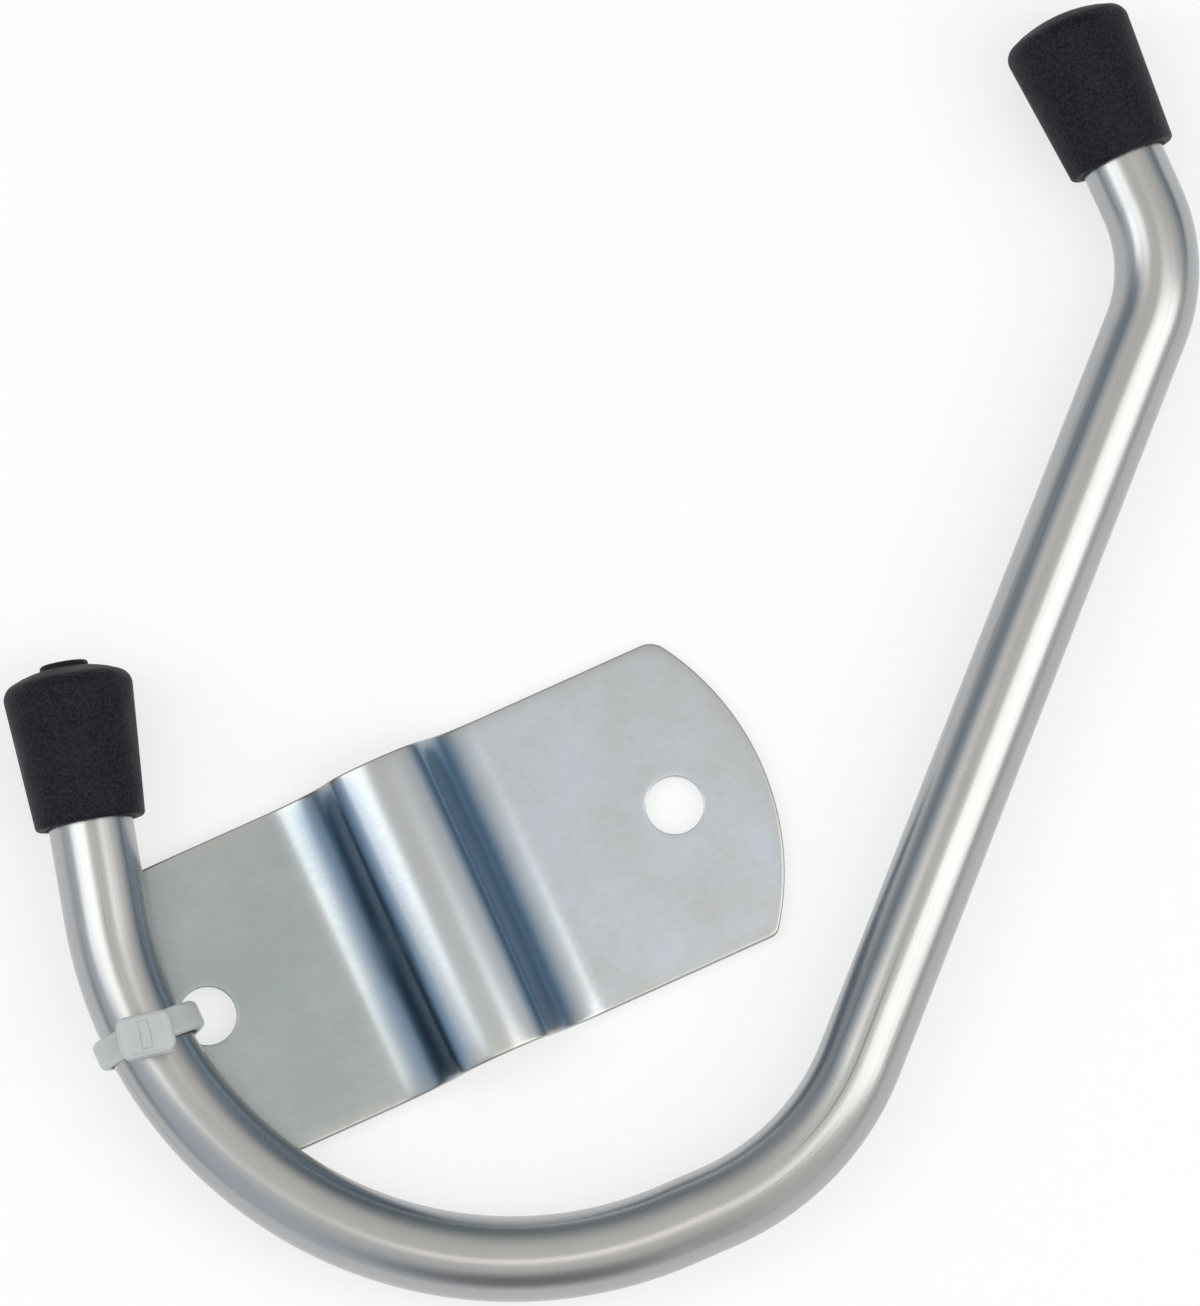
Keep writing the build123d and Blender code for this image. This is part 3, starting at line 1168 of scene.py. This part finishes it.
@dataclass
class CableTie:
    """The tie: a strap pulled taut round the wire and the clip's end, and its head on top."""

    fit: Fit
    slack: float = 0.4
    shift: float = 0.2
    sag: float = 0.25
    strap_round: float = 0.58
    inner_round: float = 0.12
    fold_round: float = 0.8
    head_length: float = 5.2
    head_width: float = 3.95
    head_height: float = 3.5
    head_offset: float = -0.1
    head_angle: float = 11.5
    head_round: float = 1.0
    head_top_round: float = 0.5
    slot_length: float = 2.6
    slot_width: float = 1.0
    slot_depth: float = 0.06
    tail_width: float = 2.5
    tail_thickness: float = 0.9
    first_border: float = 0.2  # insets that start the slot and the tail in it, before they are sized
    second_border: float = 0.05
    wall_slope: float = 0.1  # a face whose normal rises less than this is a wall of the head
    least_side: float = 0.03  # and one of more square mm than this is one of its sides
    loop_steps: int = 120
    finish: NaturalNylon = field(default_factory=NaturalNylon)

    @property
    def loop_level(self) -> float:
        """Height of the loop's centre above the clip's underside."""
        return self.fit.wire_level - self.sag

    @property
    def head_bottom(self) -> float:
        """Height of the head's underside above the clip's underside."""
        return self.loop_level + self.fit.wire_radius + self.slack

    def taut_line(self) -> list[Vector]:
        """Pulls a line tight round the loop over the wire and the clip's end.

        Returns:
            The hull's points, along the clip and up, anticlockwise.
        """
        fit = self.fit
        outer, radius = -fit.clip_reach - fit.seat_gap, fit.wire_radius + self.slack
        centre = Vector((fit.wire_station + self.shift, self.loop_level))
        turns = [math.tau * k / self.loop_steps for k in range(self.loop_steps)]
        cloud = [centre + radius * Vector((math.cos(a), math.sin(a))) for a in turns]
        cloud += [Vector((x, z)) for x in (outer, fit.tongue_inner) for z in (0.0, fit.sheet)]
        cloud.sort(key=lambda p: (p.x, p.y))
        halves = []
        for points in (cloud, cloud[::-1]):
            chain: list[Vector] = []
            for point in points:
                while len(chain) > 1 and (chain[-1] - chain[-2]).cross(point - chain[-1]) <= 0:
                    chain.pop()
                chain.append(point)
            halves += chain[:-1]
        return halves

    def strap(self) -> bpy.types.Object:
        """Draws the strap across from the taut line, gives it its thickness and rounds it.

        Returns:
            The strap, in object mode, on the clip's own axes.
        """
        fit = self.fit
        line = [Vector((p.x, p.y, 0.0)) for p in self.taut_line()]
        piece = start_ring("nylon_tie", len(line), fit.wire_radius)
        lay_ring(piece, Vector((0.0, 0.0, 0.0)), line)
        bpy.ops.object.mode_set(mode="OBJECT")
        piece.rotation_euler = (math.pi / 2, 0.0, 0.0)
        piece.location = Vector((0.0, fit.strap_offset + fit.strap_width / 2, 0.0)) * MM
        bpy.ops.object.transform_apply(location=True, rotation=True, scale=True)
        bpy.ops.object.mode_set(mode="EDIT")
        bpy.ops.mesh.select_all(action="SELECT")
        extrude(Vector((0.0, -fit.strap_width, 0.0)))
        self.face_out(piece)
        bpy.ops.object.mode_set(mode="OBJECT")
        add_modifier(piece, "SOLIDIFY", thickness=fit.strap_thickness * MM, offset=1.0, use_even_offset=True)
        bpy.ops.object.mode_set(mode="EDIT")
        close_up(piece)

        sharp_turn = 0.5
        flat, upright = 0.1, 0.9  # share of a normal across the strap, on its faces and on its two sides

        def folded(edge: bmesh.types.BMEdge) -> bool:
            """Says whether an edge is a sharp outer corner where the strap turns round the clip."""
            sharp = len(edge.link_faces) == 2 and edge.calc_face_angle(0.0) > sharp_turn
            return sharp and all(abs(face.normal.y) < flat and self.outward(face) for face in edge.link_faces)

        def long_edge(edge: bmesh.types.BMEdge, outer: bool) -> bool:
            """Says whether an edge runs along the strap on its outer or its inner side."""
            faces = sorted(edge.link_faces, key=lambda face: abs(face.normal.y))
            if len(faces) != 2 or abs(faces[0].normal.y) > flat or abs(faces[1].normal.y) < upright:
                return False
            return self.outward(faces[0]) is outer

        round_off(piece, self.fold_round, 5, folded)
        round_off(piece, self.strap_round, 5, lambda edge: long_edge(edge, True))
        round_off(piece, self.inner_round, 2, lambda edge: long_edge(edge, False))
        bpy.ops.object.mode_set(mode="OBJECT")
        return piece

    def outward(self, face: bmesh.types.BMFace) -> bool:
        """Says whether a face of the strap looks away from the loop's middle."""
        low = 0.6  # the loop's middle lies below the wire's, because the clip's end is in it too
        middle = Vector((self.fit.wire_station, 0.0, self.fit.wire_level * low)) * MM
        return face.normal.dot(face.calc_center_median() - middle) > 0

    def face_out(self, piece: bpy.types.Object) -> None:
        """Turns the strap's open loop so that its faces look outwards.

        Args:
            piece: The loop in edit mode.
        """
        bpy.ops.mesh.select_all(action="SELECT")
        bpy.ops.mesh.normals_make_consistent(inside=False)
        choose(piece, Pick.FACES, lambda face: not self.outward(face))
        bpy.ops.mesh.flip_normals()

    def head(self) -> bpy.types.Object:
        """Models the head: a soft block with the cut tail standing in its slot.

        Returns:
            The head, in object mode, on the clip's own axes.
        """
        size = Vector((self.head_length, self.head_width, self.head_height))
        bpy.ops.object.select_all(action="DESELECT")
        bpy.ops.mesh.primitive_cube_add(size=MM)
        piece = bpy.context.active_object
        bpy.ops.object.mode_set(mode="EDIT")
        bpy.ops.transform.resize(value=size, center_override=(0.0, 0.0, 0.0))
        bpy.ops.transform.translate(value=(0.0, 0.0, size.z / 2 * MM))
        choose(piece, Pick.FACES, lambda face: face.normal.z > 0.9)
        lid = Vector((0.0, 0.0, size.z * MM))
        wide, deep = size.x, size.y
        for opening, border, drop in (
            ((self.slot_width, self.slot_length), self.first_border, -self.slot_depth),
            ((self.tail_thickness, self.tail_width), self.second_border, self.slot_depth),
        ):
            bpy.ops.mesh.inset(thickness=border * MM)
            scale = (opening[0] / (wide - 2 * border), opening[1] / (deep - 2 * border), 1.0)
            bpy.ops.transform.resize(value=scale, center_override=lid)
            extrude(Vector((0.0, 0.0, drop)))
            wide, deep = opening

        def upright(edge: bmesh.types.BMEdge) -> bool:
            """Says whether an edge is one of the block's four upright corners."""
            tall = abs(edge.verts[0].co.z - edge.verts[1].co.z) > size.z / 2 * MM
            on_side = (
                abs(abs(v.co.x) - size.x / 2 * MM) < TOUCH or abs(abs(v.co.y) - size.y / 2 * MM) < TOUCH
                for v in edge.verts
            )
            return tall and all(on_side)

        def on_lid(edge: bmesh.types.BMEdge) -> bool:
            """Says whether an edge lies between the block's lid and its side."""
            walls = [face for face in edge.link_faces if abs(face.normal.z) < self.wall_slope]
            sides = [face for face in walls if face.calc_area() > self.least_side * MM**2]
            return all(abs(v.co.z - lid.z) < TOUCH for v in edge.verts) and not all(map(self.in_slot, sides))

        round_off(piece, self.head_round, 6, upright)
        round_off(piece, self.head_top_round, 4, on_lid)
        bpy.ops.object.mode_set(mode="OBJECT")
        place = Matrix.Translation(Vector((self.fit.wire_station, self.head_offset, self.head_bottom)) * MM)
        piece.data.transform(place @ Matrix.Rotation(math.radians(-self.head_angle), 4, "Z"))
        return piece

    def in_slot(self, face: bmesh.types.BMFace) -> bool:
        """Says whether a face of the unplaced head belongs to its slot or tail."""
        middle, margin = face.calc_center_median() / MM, 0.05
        return abs(middle.x) < self.slot_width / 2 + margin and abs(middle.y) < self.slot_length / 2 + margin

    def build(self) -> bpy.types.Object:
        """Joins the strap and its head, and sets the tie on the clip and the wire.

        Returns:
            The dressed tie.
        """
        piece, head = self.strap(), self.head()
        add_modifier(piece, "BOOLEAN", object=head, operation="UNION", solver="EXACT")
        bpy.data.objects.remove(head)
        piece.data.transform(self.fit.clip_place)
        return hand_over(piece, "cable_tie", self.finish.make(), smooth=44.0)


# The studio


def sky(bearing: float, from_overhead: float) -> Vector:
    """Finds a direction from the part into the room.

    Args:
        bearing: Its bearing round the part, in degrees.
        from_overhead: Its angle down from overhead, in degrees.

    Returns:
        The direction, of length 1.
    """
    turn, down = math.radians(bearing), math.radians(from_overhead)
    return Vector((math.cos(turn) * math.sin(down), math.sin(turn) * math.sin(down), math.cos(down)))


@dataclass(frozen=True)
class Softbox:
    """One soft lamp, aimed at the part. Its angles are in degrees and its lengths in metres."""

    name: str
    bearing: float
    from_overhead: float
    distance: float
    height: float
    breadth: float
    radiance: float
    colour: str

    def hang(self) -> None:
        """Hangs the lamp with its height in the plane of its bearing."""
        lamp = bpy.data.lights.new(self.name, "AREA")
        lamp.shape, lamp.size, lamp.size_y = "RECTANGLE", self.breadth, self.height
        lamp.energy = self.radiance * math.pi * self.breadth * self.height
        lamp.color = linear(self.colour)[:3]
        hung = bpy.data.objects.new(self.name, lamp)
        towards = sky(self.bearing, self.from_overhead)
        hung.location = towards * self.distance
        hung.rotation_mode = "QUATERNION"
        hung.rotation_quaternion = (-towards).to_track_quat("-Z", "Y")
        hung.visible_camera = False
        bpy.context.scene.collection.objects.link(hung)


@dataclass(frozen=True)
class WallPatch:
    """A paler or darker round of the room, which the metal mirrors. All its angles are in degrees."""

    bearing: float
    from_overhead: float
    inner: float
    outer: float
    colour: str


@dataclass
class Studio:
    """Floor, lamps, room and camera. The floor is in metres, and the camera's places are in mm."""

    floor_size: float = 14.0
    zenith: str = "#f9f4ec"
    zenith_from: float = 0.95  # rise of the look at which the room is as pale as overhead
    horizon: str = "#d4d3d0"
    lamps: tuple[Softbox, ...] = (
        Softbox("west_softbox", 180.0, 39.0, 0.62, 0.46, 0.26, 1.85, "#fffdfb"),
        Softbox("east_softbox", 350.0, 42.0, 0.62, 0.62, 0.30, 1.78, "#fffbf7"),
        Softbox("overhead_strip", 280.0, 15.0, 0.70, 0.14, 0.26, 1.05, "#fff4ee"),
    )
    patches: tuple[WallPatch, ...] = (
        WallPatch(222.0, 72.0, 18.0, 60.0, "#dfe5ec"),
        WallPatch(102.0, 88.0, 2.0, 66.0, "#7d8a8f"),
        WallPatch(62.0, 87.0, 8.0, 45.0, "#6b7c84"),
        WallPatch(28.0, 95.0, 12.0, 42.0, "#a2b3c0"),
        WallPatch(24.0, 93.0, 5.0, 21.0, "#142a36"),
        WallPatch(204.0, 97.0, 6.0, 28.0, "#2a3f4a"),
        WallPatch(154.0, 62.0, 5.0, 30.0, "#8c9aa8"),
        WallPatch(272.0, 65.0, 8.0, 30.0, "#878788"),
        WallPatch(312.0, 72.0, 6.0, 26.0, "#f4f1ed"),
    )
    target: tuple[float, float, float] = (-0.27, -0.40, 6.2)
    camera_distance: float = 900.0
    camera_elevation: float = 84.0
    focal_pixels: float = 9594.0
    image_height: float = 1306.0
    clip_start: float = 50.0  # the camera sees nothing nearer, or farther than clip_end
    clip_end: float = 60000.0
    card: StudioCard = field(default_factory=StudioCard)

    def lay_floor(self) -> None:
        """Lays the floor, which isn't part of the object."""
        bpy.ops.object.select_all(action="DESELECT")
        bpy.ops.mesh.primitive_plane_add(size=self.floor_size)
        floor = bpy.context.active_object
        floor.name = floor.data.name = "floor"
        floor.data.materials.append(self.card.make())

    def paint_room(self) -> None:
        """Gives the room its soft light: paler overhead, with the patches that the metal mirrors."""
        world = bpy.data.worlds.new("room")
        world.use_nodes = True
        bpy.context.scene.world = world
        tree = world.node_tree
        look = add_node(tree, "ShaderNodeTexCoord").outputs["Generated"]
        rise = add_node(tree, "ShaderNodeSeparateXYZ", {"Vector": look}).outputs["Z"]
        height = add_node(
            tree,
            "ShaderNodeMapRange",
            {"Value": rise, "From Max": self.zenith_from},
            interpolation_type="SMOOTHSTEP",
        ).outputs[0]
        shade = add_node(
            tree,
            "ShaderNodeMix",
            {0: height, 6: linear(self.horizon), 7: linear(self.zenith)},
            data_type="RGBA",
        ).outputs[2]
        for patch in self.patches:
            towards = sky(patch.bearing, patch.from_overhead)
            near = add_node(
                tree, "ShaderNodeVectorMath", {0: look, 1: towards}, operation="DOT_PRODUCT"
            ).outputs["Value"]
            away = add_node(tree, "ShaderNodeMath", {0: near}, operation="ARCCOSINE").outputs[0]
            inside = add_node(
                tree,
                "ShaderNodeMapRange",
                {"Value": away, "From Min": math.radians(patch.outer), "From Max": math.radians(patch.inner)},
                interpolation_type="SMOOTHSTEP",
            ).outputs[0]
            shade = add_node(
                tree, "ShaderNodeMix", {0: inside, 6: shade, 7: linear(patch.colour)}, data_type="RGBA"
            ).outputs[2]
        tree.links.new(shade, tree.nodes["Background"].inputs["Color"])

    def set_camera(self) -> None:
        """Sets the camera where the photograph was taken from: almost straight overhead."""
        lift = math.radians(self.camera_elevation)
        back = Vector((0.0, -math.cos(lift), math.sin(lift)))
        camera = bpy.data.cameras.new("camera")
        camera.lens = camera.sensor_width * self.focal_pixels / self.image_height
        camera.clip_start, camera.clip_end = self.clip_start * MM, self.clip_end * MM
        stand = bpy.data.objects.new("camera", camera)
        stand.location = (Vector(self.target) + back * self.camera_distance) * MM
        stand.rotation_mode = "QUATERNION"
        stand.rotation_quaternion = (-back).to_track_quat("-Z", "Y")
        bpy.context.scene.collection.objects.link(stand)
        bpy.context.scene.camera = stand

    def build(self) -> None:
        """Sets the whole studio up."""
        self.lay_floor()
        for lamp in self.lamps:
            lamp.hang()
        self.paint_room()
        self.set_camera()
        bpy.context.scene.view_settings.view_transform = "Standard"


def main() -> None:
    """Builds the pieces in order, then the studio."""
    logging.basicConfig(level=logging.INFO, format="%(message)s")
    LOG.info("frame has %s", ", ".join(sorted(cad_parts)))
    fit = Fit()
    hook = WireHook(fit)
    hook.build()
    for end, (mouth, outward) in hook.ends().items():
        EndCap(fit, end).build(mouth, outward)
    SaddleClip(fit).build()
    CableTie(fit).build()
    Studio().build()


if __name__ == "__main__":
    main()
